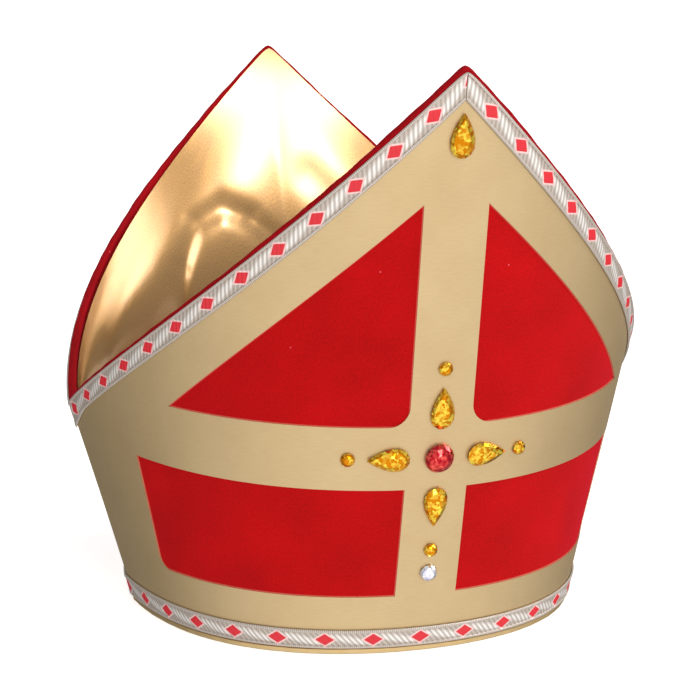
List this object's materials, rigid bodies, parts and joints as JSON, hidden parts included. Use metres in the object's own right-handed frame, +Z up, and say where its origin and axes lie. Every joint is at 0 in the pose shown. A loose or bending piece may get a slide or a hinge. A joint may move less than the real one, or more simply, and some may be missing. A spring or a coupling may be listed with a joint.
{
  "type": "bishop mitre",
  "caption": "Stiff two-horned bishop's mitre in red velvet with gold cloth overlays, galloon trims, glued stones and a satin crown lining.",
  "frame": {"origin": "under the middle of the hat's box, on the surface that it stands on", "axes": "+Z up, +X to the viewer's right as they face the front, front towards -Y"},
  "size_m": [0.2426, 0.2764, 0.2284],
  "materials": {
    "velvet": "red cotton velvet with a short pile",
    "gold_cloth": "matte gold foil cloth with a fine crosswise grain",
    "gold_roll": "gold foil cloth, rolled",
    "galloon": "champagne metallic braid with red diamonds",
    "satin": "gold satin, glossy",
    "amber_glass": "foil-backed faceted acrylic, amber",
    "ruby_glass": "foil-backed faceted acrylic, ruby",
    "clear_glass": "foil-backed faceted acrylic, clear"
  },
  "bodies": {
    "root": {"front_shell": "velvet", "back_shell": "velvet", "front_gold_overlay": "gold_cloth", "back_gold_overlay": "gold_cloth", "front_edge_roll": "velvet", "back_edge_roll": "velvet", "front_top_trim_left": "galloon", "front_top_trim_right": "galloon", "back_top_trim_left": "galloon", "back_top_trim_right": "galloon", "hem_trim_front": "galloon", "hem_trim_back": "galloon", "hem_roll": "gold_roll", "crown_lining_back": "satin", "crown_lining_floor": "satin", "crown_lining_front": "satin", "peak_stone": "amber_glass", "cross_bead_top": "amber_glass", "cross_drop_top": "amber_glass", "centre_stone": "ruby_glass", "cross_drop_left": "amber_glass", "cross_drop_right": "amber_glass", "cross_drop_bottom": "amber_glass", "cross_bead_left": "amber_glass", "cross_bead_right": "amber_glass", "cross_bead_bottom": "amber_glass", "clear_bead": "clear_glass"}
  },
  "joints": []
}
